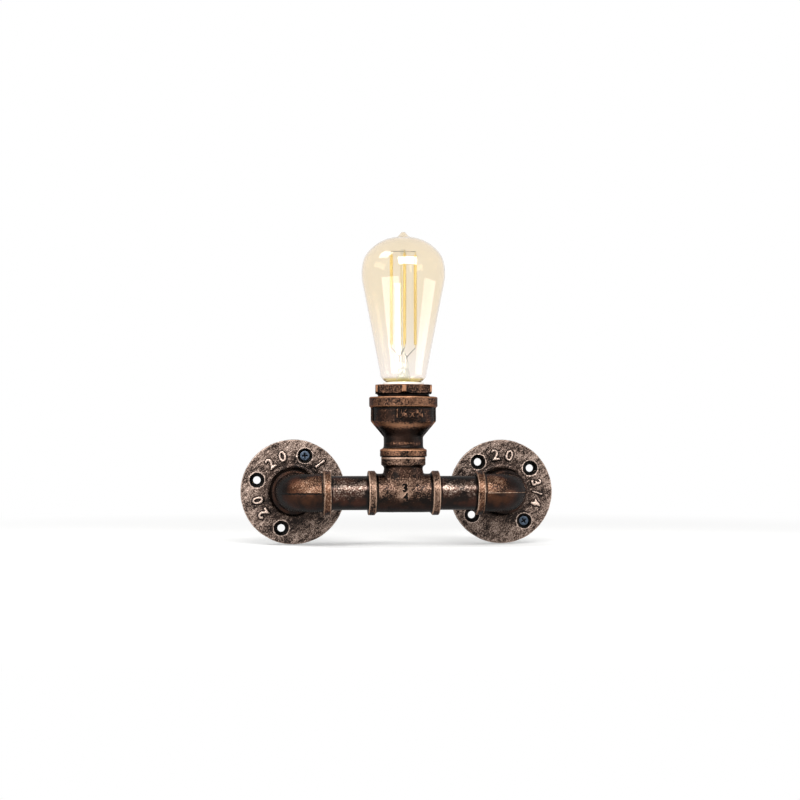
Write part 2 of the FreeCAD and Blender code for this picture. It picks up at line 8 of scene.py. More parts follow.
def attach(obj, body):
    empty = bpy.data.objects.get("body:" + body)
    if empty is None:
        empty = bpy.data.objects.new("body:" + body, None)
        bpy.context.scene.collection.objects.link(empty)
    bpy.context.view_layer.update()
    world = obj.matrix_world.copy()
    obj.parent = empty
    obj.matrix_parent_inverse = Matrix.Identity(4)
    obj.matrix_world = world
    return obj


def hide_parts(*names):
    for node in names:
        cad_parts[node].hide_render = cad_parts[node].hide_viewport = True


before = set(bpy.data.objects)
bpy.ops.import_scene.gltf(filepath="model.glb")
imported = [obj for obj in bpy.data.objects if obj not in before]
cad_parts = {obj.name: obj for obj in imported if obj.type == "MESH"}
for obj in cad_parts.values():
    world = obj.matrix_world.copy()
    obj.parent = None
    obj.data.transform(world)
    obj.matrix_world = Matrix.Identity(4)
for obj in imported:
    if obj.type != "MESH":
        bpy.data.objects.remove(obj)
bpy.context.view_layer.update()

# Wall light of screwed pipe fittings. The origin is on the wall midway between the flanges, -Y is
# towards the room and Z is up. Sizes are in millimetres and are turned to metres by MM.
MM = 0.001
FRAME_BODY = "pipe_frame"
LAMP_BODY = "lamp"

# ---- sizes of the fittings, as in the part's source

PIPE_R = 13.3
PIPE_BORE_R = 10.5
THREAD_DEPTH = 13.5
BAND_R = 17.6
BAND_W = 6.2
FLANGE_R = 42.5
FLANGE_PLATE = 5.0
FLANGE_H = 19.5
HUB_R = 18.0
HUB_FOOT_R = 22.5
HUB_SHOULDER_H = 10.5
SCREW_CIRCLE_R = 30.5
SCREW_HOLE_R = 3.0
SINK_MOUTH_R = 6.0
ELBOW_REACH = 28.0
ELBOW_SWEEP_R = 17.0
ELBOW_BODY_R = 15.1
CAST_PASSAGE_R = 11.8
TEE_REACH = 28.1
TEE_BODY_R = 15.4
TEE_NECK_R = 15.5
PIPE_DEPTH = 48.8
HALF_SPACING = 84.5
SOCKET_Z = 28.4
SOCKET_H = 46.7
HEX_ACROSS = 44.0
HEX_Z = 77.2
HEX_TOP = 84.4
HEX_TURN = -4.2
BUSHING_END_Z = 61.3
BUSHING_THREAD_R = 20.95
BUSHING_BORE_R = 16.2
HOLDER_R = 15.95
HOLDER_TOP = 86.2
TERMINAL_Y = 5.8
CONTACT_HOLE_R = 1.2
LAMP_PITCH = 3.629
BUSHING_PITCH = 2.309

# ---- sizes that many shapes share

ROUND = 96  # points round a turned shape
FINE_ROUND = 128
SCREW_ROUND = 48
SMALL_ROUND = 24
BAND_EDGE = 0.7  # rounding of a band's edges
BAND_FLARE = 1.2  # how far a body flares into its band
CHAMFER = 0.9  # depth of the chamfer at a screwed mouth
PAST = 1.0  # how far a cutter runs past the face that it opens
NUMERAL_SINK = 0.6  # how far a numeral is sunk into its ground


# ---- modelling helpers

def deselect():
    bpy.ops.object.select_all(action="DESELECT")


def pick(piece):
    """Make a piece the only one selected, and active."""
    deselect()
    piece.select_set(True)
    bpy.context.view_layer.objects.active = piece


def edit(piece):
    pick(piece)
    bpy.ops.object.mode_set(mode="EDIT")


def leave():
    bpy.ops.object.mode_set(mode="OBJECT")


def edit_points(piece, chosen):
    """Open a piece in edit mode with only the points of these indices selected."""
    edit(piece)
    bpy.ops.mesh.select_mode(type="VERT")
    bpy.ops.mesh.select_all(action="DESELECT")
    leave()
    for index in chosen:
        piece.data.vertices[index].select = True
    edit(piece)


def edit_faces(piece, wanted):
    """Open a piece in edit mode with only those of its faces selected that wanted names."""
    faces = [face for face in piece.data.polygons if wanted(face)]
    edit_points(piece, {index for face in faces for index in face.vertices})
    bpy.ops.mesh.select_mode(type="FACE")


def looks_down(face):
    return face.normal.z < -0.9


def faces_out():
    """Turn the open piece's faces outwards."""
    bpy.ops.mesh.select_all(action="SELECT")
    bpy.ops.mesh.normals_make_consistent(inside=False)


def named(name):
    """Name the piece that an operator has just made, and take its placing into its mesh."""
    piece = bpy.context.object
    piece.name = name
    piece.data.name = name
    bpy.ops.object.transform_apply(location=True, rotation=True, scale=True)
    return piece


def drawn_up(name, rings, segments=ROUND):
    """Round or oval piece about Z, drawn up ring by ring from a disc and closed at both ends.

    A ring is (radius, height) or (half width, half depth, height).
    """
    rings = [ring if len(ring) == 3 else (ring[0], ring[0], ring[1]) for ring in rings]
    wide, deep, low = rings[0]
    deselect()
    bpy.ops.mesh.primitive_circle_add(
        vertices=segments, radius=wide * MM, fill_type="NGON", location=(0, 0, low * MM)
    )
    piece = named(name)
    edit(piece)
    bpy.ops.mesh.select_all(action="SELECT")
    bpy.ops.transform.resize(value=(1, deep / wide, 1))
    for before, ring in zip(rings, rings[1:]):
        rise = (ring[2] - before[2]) * MM
        bpy.ops.mesh.extrude_region_move(TRANSFORM_OT_translate={"value": (0, 0, rise)})
        bpy.ops.transform.resize(value=(ring[0] / before[0], ring[1] / before[1], 1))
    faces_out()
    leave()
    return piece


def bar(name, size, centre):
    """Rectangular bar for cutting or joining."""
    deselect()
    place = [value * MM for value in centre]
    bpy.ops.mesh.primitive_cube_add(size=MM, location=place, scale=size)
    return named(name)


def settle(piece, turn=(0, 0, 0), place=(0, 0, 0)):
    """Turn a piece by degrees about X, Y and Z, move it by millimetres, and apply both."""
    pick(piece)
    piece.rotation_euler = [math.radians(value) for value in turn]
    piece.location = [value * MM for value in place]
    bpy.ops.object.transform_apply(location=True, rotation=True, scale=True)
    return piece


def mirror(piece):
    """Mirror a piece across the lamp's middle plane and turn its faces outwards again."""
    edit(piece)
    bpy.ops.mesh.select_all(action="SELECT")
    bpy.ops.transform.mirror(
        constraint_axis=(True, False, False), orient_type="GLOBAL", center_override=(0, 0, 0)
    )
    faces_out()
    leave()


def modify(piece, kind, **settings):
    """Add one modifier and apply it."""
    pick(piece)
    modifier = piece.modifiers.new(kind, kind)
    for key, value in settings.items():
        setattr(modifier, key, value)
    bpy.ops.object.modifier_apply(modifier=modifier.name)


def combine(piece, operation, other, solver="MANIFOLD"):
    """Cut, unite or intersect a piece with another one, which is used up."""
    modify(piece, "BOOLEAN", operation=operation, object=other, solver=solver)
    bpy.data.objects.remove(other)


def cut(piece, *cutters):
    for cutter in cutters:
        combine(piece, "DIFFERENCE", cutter)


def joined(*pieces):
    """Put several closed shapes in the first one's mesh."""
    deselect()
    for piece in pieces:
        piece.select_set(True)
    bpy.context.view_layer.objects.active = pieces[0]
    bpy.ops.object.join()
    return pieces[0]


def smooth(piece, degrees=35):
    pick(piece)
    bpy.ops.object.shade_smooth_by_angle(angle=math.radians(degrees))


def fuse(piece, voxel, rounding):
    """Make one skin of shapes that overlap, and round its edges."""
    modify(piece, "REMESH", mode="VOXEL", voxel_size=voxel * MM)
    modify(piece, "SMOOTH", factor=0.5, iterations=rounding)


def helix_ridge(crest_r, section_r, corners, pitch, turns, low):
    """Closed right-hand ridge winding up about Z, its section's crest or a corner outwards."""
    deselect()
    bpy.ops.mesh.primitive_circle_add(
        vertices=corners, radius=section_r * MM, fill_type="NGON"
    )
    ridge = settle(named("ridge"), turn=(90, 90, 0), place=(crest_r - section_r, 0, low))
    modify(
        ridge, "SCREW", angle=math.radians(360), screw_offset=pitch * MM, iterations=turns,
        steps=ROUND, render_steps=ROUND, axis="Z", use_merge_vertices=False,
    )
    edit(ridge)
    bpy.ops.mesh.select_all(action="SELECT")
    bpy.ops.mesh.fill_holes(sides=0)
    faces_out()
    leave()
    return ridge


# ---- castings

def sand(name, size):
    """Lumps of one size in millimetres, for roughening a casting."""
    lumps = bpy.data.textures.new(name, "CLOUDS")
    lumps.noise_scale = size * MM
    lumps.noise_depth = 2
    return lumps


SAND_GRAIN = sand("sand grain", 1.1)
MOULD_DENTS = sand("mould dents", 3.0)
MOULD_SWELL = sand("mould swell", 9.0)
TOP_OF_SAND = 0.95  # texture value that stays in place, so that the relief goes inwards


def cast(piece, voxel=0.45, rounding=3, grain=0.2, dents=0.15, swell=0.25):
    """Fuse a pattern's shapes and roughen the skin as green sand does, by depths in millimetres."""
    fuse(piece, voxel, rounding)
    for texture, depth in ((MOULD_SWELL, swell), (MOULD_DENTS, dents), (SAND_GRAIN, grain)):
        modify(
            piece, "DISPLACE", texture=texture, texture_coords="LOCAL", strength=depth * MM,
            mid_level=TOP_OF_SAND,
        )


def machine(piece, *cutters):
    """Drill and screw-cut a casting, which leaves sharp edges at its bores."""
    cut(piece, *cutters)
    smooth(piece, degrees=50)


def cast_mark(text, size, rise=0.9):
    """Raised numerals lying on z = 0 and facing +Z, sunk so that they fuse with the casting."""
    deselect()
    bpy.ops.object.text_add()
    curve = bpy.context.object.data
    curve.body = text
    curve.size = size * MM
    curve.align_x = "CENTER"
    curve.align_y = "CENTER"
    curve.extrude = (rise + NUMERAL_SINK) / 2 * MM
    curve.offset = 0.22 * MM
    curve.resolution_u = 4
    bpy.ops.object.convert(target="MESH")
    mark = named("mark")
    edit(mark)
    bpy.ops.mesh.select_all(action="SELECT")
    bpy.ops.mesh.remove_doubles(threshold=0.01 * MM)
    faces_out()
    leave()
    return settle(mark, place=(0, 0, (rise - NUMERAL_SINK) / 2))


def screwed_mouth(reach):
    """Cutter for a screwed bore along Z with the chamfer at its mouth."""
    return drawn_up("mouth", [
        (PIPE_R, reach - THREAD_DEPTH),
        (PIPE_R, reach - CHAMFER),
        (PIPE_R + CHAMFER + PAST, reach + PAST),
    ])


# ---- rubbed copper: the attribute rub runs from -1, paint left black or painted shade, to 1, a rubbed edge

BLACK = -1.0
END_FACE = -0.9  # where one fitting faces another, darkened as painted shade in the joint
# Painted shade in a crease, at a band's foot or under a head, partly paint the brush missed.
CREASE_SHADE = -0.8
# Painted shade round the foot of a raised mark.
MARK_FOOT_SHADE = -0.75
SHADED = -0.7
RISER_FACE = 0.2  # bands of the tee's branch and the socket's foot
RISER_EDGE = 0.9
BRIGHT = 1.0


def rub(piece, amount, raised=None, margin=1.2):
    """Store how much copper is rubbed on at each point; amount takes a point in millimetres.

    Within the margin round the foot of every mark that raised names, the paint is darkened:
    painted shade at the mark's foot, partly paint the brush missed.
    """
    points = [vertex.co / MM for vertex in piece.data.vertices]
    values = [amount(point) for point in points]
    if raised:
        tops = [point for point in points if raised(point)]
        tree = KDTree(len(tops))
        for index, point in enumerate(tops):
            tree.insert(point, index)
        tree.balance()
        for index, point in enumerate(points):
            if not raised(point) and tree.find(point)[2] < margin:
                values[index] = min(values[index], MARK_FOOT_SHADE)
    layer = piece.data.attributes.new("rub", "FLOAT", "POINT")
    layer.data.foreach_set("value", values)


def brushed_and_lit_side(point, axis_y=0.0):
    """1 on the front and top of a level round body, down to 0 where the brush didn't reach.
    It is partly brushed copper and partly painted light, falling from above and in front.
    """
    front = (axis_y - point.y) / PIPE_R
    up = point.z / PIPE_R
    return max(0.0, min(1.0, 0.9 * front + 0.4 * up))


def brushed_and_lit_body(point, least, gain, axis_y=0.0):
    """Copper on a level round body, partly painted light, from least where the brush didn't reach
    to least + gain.
    """
    return least + gain * brushed_and_lit_side(point, axis_y) ** 2


def on_band(along, across, reach, body_r):
    """Whether a point is on the band at a mouth of that reach."""
    return along > reach - BAND_W - 0.6 and across > body_r + 0.8


def on_band_edge(along, reach):
    """Whether a point of a band is on one of its two edges."""
    return along > reach - 1.2 or along < reach - BAND_W + 0.9


# ---- materials

# Sizes of patterns in millimetres, and how much each of them counts.
BLOTCH_SIZE = 10.0
BLOTCH_SHARE = 0.8
STROKE_SIZE = 1.9
STROKE_TILT = (0, math.radians(52), 0.3)
STROKE_STRETCH = (1.0, 1.0, 5.0)
BRUSH_SHARE = 0.45
WAVE_SIZE = 22.0
# Near-black for low rub: painted shade in hollows and joints, partly paint the brush missed.
HOLLOW_SHADE_BLACK = "#060403"
COPPER_TINT = "#8a7466"


def linear(code):
    """Linear colour from an sRGB hex value."""
    channels = [int(code[start:start + 2], 16) / 255 for start in (1, 3, 5)]
    curve = [
        value / 12.92 if value <= 0.04045 else ((value + 0.055) / 1.055) ** 2.4
        for value in channels
    ]
    return (*curve, 1)


def feed(owner, node, inputs):
    """Set a node's inputs, each to a value or linked to another node's output."""
    for socket, source in inputs.items():
        if isinstance(source, bpy.types.NodeSocket):
            owner.node_tree.links.new(source, node.inputs[socket])
        else:
            node.inputs[socket].default_value = source


def add_node(owner, kind, inputs=None, **settings):
    """Add one node to a material or world, with its settings and inputs."""
    node = owner.node_tree.nodes.new(kind)
    for key, value in settings.items():
        setattr(node, key, value)
    feed(owner, node, inputs or {})
    return node


def new_material(name):
    """A material and the socket with the object's own coordinates."""
    material = bpy.data.materials.new(name)
    material.use_nodes = True
    return material, add_node(material, "ShaderNodeTexCoord").outputs["Object"]


def finish_surface(material, inputs):
    """Set or link the inputs of the material's own shader."""
    feed(material, material.node_tree.nodes["Principled BSDF"], inputs)
    return material


def noise(material, place, size, detail, roughness=0.5):
    """Noise whose lumps are about this many millimetres."""
    return add_node(material, "ShaderNodeTexNoise", {
        "Vector": place, "Scale": 1 / (size * MM), "Detail": detail, "Roughness": roughness,
    }).outputs["Fac"]


def scaled_onto(material, value, factor, base):
    """The value times the factor, plus the base."""
    return add_node(material, "ShaderNodeMath", {
        0: value, 1: factor, 2: base,
    }, operation="MULTIPLY_ADD").outputs["Value"]


def remap(owner, value, low, high, to_low=0.0, to_high=1.0, ease="LINEAR"):
    """The value carried from one range over to another, and held at its ends."""
    return add_node(owner, "ShaderNodeMapRange", {
        "Value": value, "From Min": low, "From Max": high, "To Min": to_low, "To Max": to_high,
    }, interpolation_type=ease).outputs["Result"]


def blend(material, share, first, second):
    """Colour between two, which are hex values or other nodes' outputs."""
    ends = [linear(end) if isinstance(end, str) else end for end in (first, second)]
    return add_node(material, "ShaderNodeMix", {
        "Factor": share, "A": ends[0], "B": ends[1],
    }, data_type="RGBA").outputs[2]


def bumped(material, height, strength, depth):
    """Normal of a surface whose relief is this many millimetres deep."""
    return add_node(material, "ShaderNodeBump", {
        "Height": height, "Strength": strength, "Distance": depth * MM,
    }).outputs["Normal"]


def bronzed(name, black, brown, copper, film, grain_size, brushing, coat, fade=0.12, relief=0.8):
    """Black paint with copper bronze brushed over it dry, then lacquered.

    The brush only catches what stands up, so copper lies in grains and strokes, and the attribute
    rub says how much of it each place has. Where rub is low the colour runs to near-black: painted
    shade in hollows and joints, partly paint the brush missed. Fade is how far the summed patterns
    rise from bare paint to full copper; relief is how strongly the grain stands out.
    """
    material, place = new_material(name)
    rubbed = add_node(material, "ShaderNodeAttribute", attribute_name="rub").outputs["Fac"]
    blotch = noise(material, place, BLOTCH_SIZE, 3.0)
    along = add_node(material, "ShaderNodeMapping", {
        "Vector": place, "Rotation": STROKE_TILT, "Scale": STROKE_STRETCH,
    }, vector_type="TEXTURE").outputs["Vector"]
    strokes = noise(material, along, STROKE_SIZE, 3.0, 0.6)
    grain = noise(material, place, grain_size, 4.0, 0.65)
    blotched = scaled_onto(material, blotch, BLOTCH_SHARE, rubbed)
    brushed = scaled_onto(material, strokes, brushing, blotched)
    caught = scaled_onto(material, brushed, BRUSH_SHARE, grain)
    # Copper starts just below the sum of a place with rub 0.2 whose noises are at their middle.
    starts = 0.5 + BRUSH_SHARE * (0.2 + BLOTCH_SHARE * 0.5 + brushing * 0.5) - 0.075
    copper_on = remap(material, caught, starts, starts + fade)
    film_on = remap(material, caught, starts + 0.09, starts + 0.41)
    paint = blend(material, remap(material, blotch, 0.4, 0.6), black, brown)
    skin = blend(material, copper_on, paint, blend(material, film_on, copper, film))
    # How far low rub runs to near-black: painted shade in hollows and joints.
    recess = remap(material, rubbed, -0.3, -0.9)
    normal = bumped(material, grain, relief, 0.3)
    return finish_surface(material, {
        "Base Color": blend(material, recess, skin, HOLLOW_SHADE_BLACK),
        "Metallic": 0.9,
        "Roughness": remap(material, copper_on, 0.0, 1.0, 0.24, 0.36),
        "Specular Tint": linear(COPPER_TINT),
        "Normal": normal,
        "Coat Weight": coat,
        "Coat Roughness": 0.22,
        "Coat Normal": normal,
    })


def plain_finish(name, colour, metallic, roughness, grain_size, depth, tone):
    """Even finish whose tone and surface vary a little at a real grain size, in millimetres."""
    material, place = new_material(name)
    grain = noise(material, place, grain_size, 4.0)
    return finish_surface(material, {
        "Base Color": blend(material, grain, colour, tone),
        "Metallic": metallic,
        "Roughness": remap(material, grain, 0.0, 1.0, roughness - 0.06, roughness + 0.06),
        "Normal": bumped(material, grain, 0.3, depth),
    })


def blown_glass(name, seal, foot, crown, swell):
    """Blown glass: clear, with the slow waves that blowing leaves.

    The colour of its coat deepens from foot to crown, and where the neck was sealed in the flame
    it has gathered.
    """
    material, place = new_material(name)
    height = add_node(material, "ShaderNodeSeparateXYZ", {"Vector": place}).outputs["Z"]
    coat = remap(material, height, 88 * MM, 160 * MM, ease="SMOOTHSTEP")
    gathered = remap(material, height, 90.5 * MM, 87.5 * MM, ease="SMOOTHSTEP")
    waves = noise(material, place, WAVE_SIZE, 1.0)
    return finish_surface(material, {
        "Base Color": blend(material, gathered, blend(material, coat, foot, crown), seal),
        "Metallic": 0.0,
        "Roughness": 0.0,
        "IOR": 1.5,
        "Transmission Weight": 1.0,
        "Normal": bumped(material, waves, 0.25, swell),
    })


def stained_through(material, stain, density):
    """Stain the body of a glass, which shows most where it is seen edge on."""
    absorption = add_node(
        material, "ShaderNodeVolumeAbsorption", {"Color": linear(stain), "Density": density})
    output = material.node_tree.nodes["Material Output"]
    feed(material, output, {"Volume": absorption.outputs["Volume"]})
    return material


def dress(piece, material):
    piece.data.materials.clear()
    piece.data.materials.append(material)


# Bronzed finishes: name, black, brown, copper, film, grain size, brushing and coat.
# Sand-cast malleable iron. On the flanges the copper film picks out a grain of about 0.8 mm.
FLANGE_IRON = bronzed(
    "bronzed sand-cast iron, grey", "#120c0a", "#281d18", "#5f4f46", "#bda89b", 0.8, 1.1, 0.12)
# The bends have a thicker, browner paint.
ELBOW_IRON = bronzed(
    "bronzed sand-cast iron, brown", "#1c0e08", "#3e2314", "#6b4c38", "#b29b8a", 0.9, 0.6, 0.15)
TEE_IRON = bronzed(
    "bronzed sand-cast iron, mottled", "#0c0604", "#26140b", "#5b4437", "#a68a77", 1.0, 0.6, 0.14)
SOCKET_IRON = bronzed(
    "bronzed sand-cast iron, dark", "#0b0503", "#23130b", "#5a3f30", "#966c50", 1.0, 0.6, 0.12)
# Welded steel pipe, smoother than the castings, under the same paint and lacquer.
PIPE_STEEL = bronzed(
    "bronzed steel pipe", "#0f0704", "#2f160c", "#655348", "#b5a599", 1.1, 0.8, 0.2,
    fade=0.26, relief=0.35)
# Black-oxide screws, whose oxide has a blue cast where it is smooth.
SCREW_STEEL = bronzed(
    "black-oxide screw steel", "#060608", "#0a0b0e", "#272d35", "#404a56", 0.8, 0.3, 0.0)
# Even finishes: name, colour, metallic, roughness, grain size, depth of relief, second tone.
PORCELAIN = plain_finish("glazed porcelain", "#f1efe9", 0.0, 0.16, 6.0, 0.01, "#e6e2d8")
BRASS = plain_finish("drawn brass", "#c79a52", 1.0, 0.3, 1.5, 0.01, "#b78947")
ZINC = plain_finish("zinc-plated steel", "#a7abad", 1.0, 0.34, 1.0, 0.01, "#989a98")
SOLDER = plain_finish("tin solder", "#b9bab8", 0.9, 0.45, 0.8, 0.03, "#9d9e9d")
NICKEL = plain_finish("nickel wire", "#8d8880", 1.0, 0.3, 0.5, 0.005, "#75716b")
FIBRE = plain_finish("vulcanised fibre", "#6a3626", 0.0, 0.6, 0.8, 0.02, "#5a2c1f")
BROWN_SLEEVE = plain_finish("brown PVC insulation", "#4a2a18", 0.0, 0.4, 1.0, 0.01, "#432615")
BLUE_SLEEVE = plain_finish("blue PVC insulation", "#1f4f9c", 0.0, 0.4, 1.0, 0.01, "#1c488f")
EARTH_SLEEVE = plain_finish(
    "green and yellow PVC insulation", "#4f8a2a", 0.0, 0.4, 3.0, 0.01, "#d8c53a")
BLACK_GLASS = plain_finish("pressed black glass", "#0d0d10", 0.0, 0.08, 1.0, 0.005, "#121216")
BOARD = plain_finish("lacquered circuit board", "#17663a", 0.0, 0.35, 1.0, 0.01, "#145a33")
PHOSPHOR = plain_finish("phosphor in silicone", "#dcc36c", 0.0, 0.45, 1.0, 0.02, "#e6d28c")
AMBER_GLASS = stained_through(
    blown_glass("amber blown glass", "#ece3b4", "#fefefc", "#fcf8ea", 0.05), "#d8984a", 125.0)
CLEAR_GLASS = blown_glass("clear drawn glass", "#f0f2e6", "#f6f8f4", "#f6f8f4", 0.02)


# ---- wall flanges

HUB_FILLET = 3.1
LEFT_FIRST_HOLE = 72.0
RIGHT_FIRST_HOLE = 38.3
# Text, size, distance from the middle, and degrees round from +X.
LEFT_NUMERALS = (
    ("2", 12.4, 28.6, 129), ("0", 12.4, 29.2, 107),
    ("2", 12.4, 28.9, 216), ("0", 12.4, 28.4, 193.5),
)
RIGHT_NUMERALS = (
    ("2", 12.4, 29.6, 99), ("0", 12.4, 29.4, 77),
    ("3", 11.0, 29.4, 14), ("/", 11.0, 29.2, -2), ("4", 11.0, 29.6, -18),
)


def flange_pattern(name):
    """Plate and hub along +Z, with the hub's foot swept into the plate."""
    foot = []
    for degrees in range(0, 91, 15):
        angle = math.radians(degrees)
        inwards = HUB_FILLET * math.sin(angle)
        upwards = HUB_FILLET * (1 - math.cos(angle))
        foot.append((HUB_FOOT_R - inwards, FLANGE_PLATE + upwards))
    return drawn_up(name, [
        (FLANGE_R - 0.6, 0),
        (FLANGE_R, 0.6),
        (FLANGE_R, FLANGE_PLATE - 0.9),
        (FLANGE_R - 0.9, FLANGE_PLATE),
        *foot,
        (HUB_R + 0.3, HUB_SHOULDER_H),
        (HUB_R, FLANGE_H - 0.8),
        (HUB_R - 0.8, FLANGE_H),
    ])


def on_circle(radius, degrees, height):
    """The place at this distance and angle about Z."""
    angle = math.radians(degrees)
    return (radius * math.cos(angle), radius * math.sin(angle), height)


def screw_hole(degrees):
    """Cutter for one countersunk hole."""
    hole = drawn_up("hole", [
        (SCREW_HOLE_R, -PAST),
        (SCREW_HOLE_R, FLANGE_PLATE - SINK_MOUTH_R + SCREW_HOLE_R),
        (SINK_MOUTH_R + PAST, FLANGE_PLATE + PAST),
    ], SCREW_ROUND)
    return settle(hole, place=on_circle(SCREW_CIRCLE_R, degrees, 0))


def mark_on_plate(text, size, radius, degrees):
    """A numeral on the plate with its head outwards."""
    place = on_circle(radius, degrees, FLANGE_PLATE)
    return settle(cast_mark(text, size), turn=(0, 0, degrees - 90), place=place)


def dash_on_plate(radius, degrees, slope):
    """A short raised dash on the plate."""
    place = on_circle(radius, degrees, FLANGE_PLATE)
    return settle(bar("dash", (9.5, 1.7, 1.8), (0, 0, 0)), turn=(0, 0, slope), place=place)


def from_hole(point, first_hole):
    """Distance of a point on the plate from the nearest screw hole's middle."""
    spots = [on_circle(SCREW_CIRCLE_R, first_hole + turn, 0) for turn in (0, 90, 180, 270)]
    return min(math.hypot(point.x - x, point.y - y) for x, y, _ in spots)


def on_flange_mark(point):
    return point.z > FLANGE_PLATE - 0.05 and math.hypot(point.x, point.y) > HUB_FOOT_R + 1.5


def flange_wear(first_hole):
    """Bright numerals, front edge and hole mouths; countersinks black, as painted shade; the back
    only painted.
    """
    plate_start = HUB_FOOT_R + 0.5

    def amount(point):
        reach = math.hypot(point.x, point.y)
        off_hole = from_hole(point, first_hole) - SINK_MOUTH_R
        if point.z < 0.9:
            return -0.55
        # Countersinks: painted shade.
        if off_hole < 0.1:
            return BLACK
        if point.z < FLANGE_PLATE - 1.3:
            return 0.0
        if off_hole < 0.75:
            return 0.95
        if reach > FLANGE_R - 1.0:
            return 0.85
        # The hub's sides are darkened: painted shade round the elbow, partly paint the brush
        # missed.
        if reach < plate_start:
            return -0.3 if point.z > FLANGE_PLATE + 2.0 else 0.0
        if on_flange_mark(point):
            return BRIGHT
        # The plate darkens towards the hub, partly painted shade round the elbow.
        return -0.02 + 0.24 * min(1.0, (reach - plate_start) / 9.0)
    return amount


def wall_flange(side_name, side, first_hole, marks):
    flange = flange_pattern(side_name + "_flange_casting")
    joined(flange, *marks)
    cast(flange, voxel=0.5, rounding=2, grain=0.3, dents=0.35, swell=0.4)
    drills = [screw_hole(first_hole + turn) for turn in (0, 90, 180, 270)]
    bore = drawn_up("bore", [(PIPE_R, -PAST), (PIPE_R, FLANGE_H + PAST)])
    machine(flange, joined(bore, *drills))
    rub(flange, flange_wear(first_hole), on_flange_mark)
    settle(flange, turn=(90, 0, 0), place=(side * HALF_SPACING, 0, 0))
    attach(flange, FRAME_BODY)
    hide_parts(side_name + "_flange")
    dress(flange, FLANGE_IRON)


# ---- elbows

SEAM_STEP = (-0.2, -0.5, 0)


def quarter_bend(name, sweep_r, radius):
    """Quarter of a ring about the elbow's inner corner, closed with flat ends."""
    corner = (sweep_r * MM, sweep_r * MM, 0)
    deselect()
    bpy.ops.mesh.primitive_torus_add(
        major_radius=sweep_r * MM, minor_radius=radius * MM, major_segments=ROUND,
        minor_segments=72, location=corner,
    )
    bend = named(name)
    edit(bend)
    for direction in ((1, 0, 0), (0, 1, 0)):
        bpy.ops.mesh.select_all(action="SELECT")
        bpy.ops.mesh.bisect(
            plane_co=corner, plane_no=direction, use_fill=True, clear_outer=True,
            threshold=0.0001 * MM,
        )
    faces_out()
    leave()
    return bend


def elbow_leg():
    """One straight leg along +Z with the band at its mouth."""
    band_foot = ELBOW_REACH - BAND_W
    return drawn_up("leg", [
        (ELBOW_BODY_R, ELBOW_SWEEP_R - 0.3),
        (ELBOW_BODY_R, band_foot - BAND_FLARE),
        (ELBOW_BODY_R + BAND_FLARE, band_foot),
        (BAND_R - BAND_EDGE, band_foot),
        (BAND_R, band_foot + BAND_EDGE),
        (BAND_R, ELBOW_REACH - BAND_EDGE),
        (BAND_R - BAND_EDGE, ELBOW_REACH),
    ])


def elbow_wear(side):
    """Copper on the edges of the band towards the tee, thin on its face and on the brushed side.

    The brushed side is partly painted light, the band's foot is darkened as painted shade, and
    below the seam the copper is cut back as painted shade. The mould's seam is black on the
    left elbow, a painted shadow under its step, and bright on the right one.
    """
    band_foot = ELBOW_REACH - BAND_W

    def amount(point):
        if on_band(point.x, math.hypot(point.y, point.z), ELBOW_REACH, ELBOW_BODY_R):
            if on_band_edge(point.x, ELBOW_REACH):
                return 0.5
            return 0.12 * brushed_and_lit_side(point) - 0.04
        # Painted shade in the crease at the band's foot.
        if band_foot - 1.6 < point.x < band_foot:
            return CREASE_SHADE
        outside = point.x < 12 and point.y < 12 or point.y < -10
        ragged = point.z - 0.4 * math.sin(1.1 * point.x) * math.sin(0.45 * point.x + 1.0)
        # Painted shadow under the seam's step on the left elbow.
        if outside and side < 0 and -1.0 < ragged < 0.2:
            return BLACK
        if outside and side > 0 and -0.1 < point.z < 0.55:
            return 0.8
        # Less copper below the seam: painted shade on the lower half.
        return brushed_and_lit_body(point, least=-0.62, gain=0.76 if point.z > 0 else 0.418)
    return amount


def shift_mould(piece, shift):
    """Make the upper half of a casting stand a little proud of the lower at the mould's seam."""
    upper = [vertex.index for vertex in piece.data.vertices if vertex.co.z > 0.05 * MM]
    edit_points(piece, upper)
    bpy.ops.transform.translate(value=[value * MM for value in shift])
    leave()


def pipe_elbow(side_name, side):
    """Left-hand elbow, one mouth to the wall and the other to +X, mirrored for the right."""
    to_tee, to_wall = (0, 90, 0), (-90, 0, 0)
    elbow = quarter_bend(side_name + "_elbow_casting", ELBOW_SWEEP_R, ELBOW_BODY_R)
    joined(elbow, settle(elbow_leg(), turn=to_tee), settle(elbow_leg(), turn=to_wall))
    cast(elbow)
    shift_mould(elbow, SEAM_STEP)
    machine(
        elbow,
        settle(screwed_mouth(ELBOW_REACH), turn=to_tee),
        settle(screwed_mouth(ELBOW_REACH), turn=to_wall),
        quarter_bend("passage", ELBOW_REACH - THREAD_DEPTH + 0.1, CAST_PASSAGE_R),
    )
    rub(elbow, elbow_wear(side))
    if side > 0:
        mirror(elbow)
    settle(elbow, place=(side * HALF_SPACING, -PIPE_DEPTH, 0))
    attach(elbow, FRAME_BODY)
    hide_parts(side_name + "_elbow")
    dress(elbow, ELBOW_IRON)


# ---- pipes of the level run

def pipe_wear(point):
    """Brushed along its front, partly painted light; painted shade where it enters a fitting."""
    if not TEE_REACH + 1.2 < abs(point.x) < HALF_SPACING - ELBOW_REACH - 1.2:
        return SHADED
    return brushed_and_lit_body(point, least=-0.5, gain=0.75, axis_y=-PIPE_DEPTH)


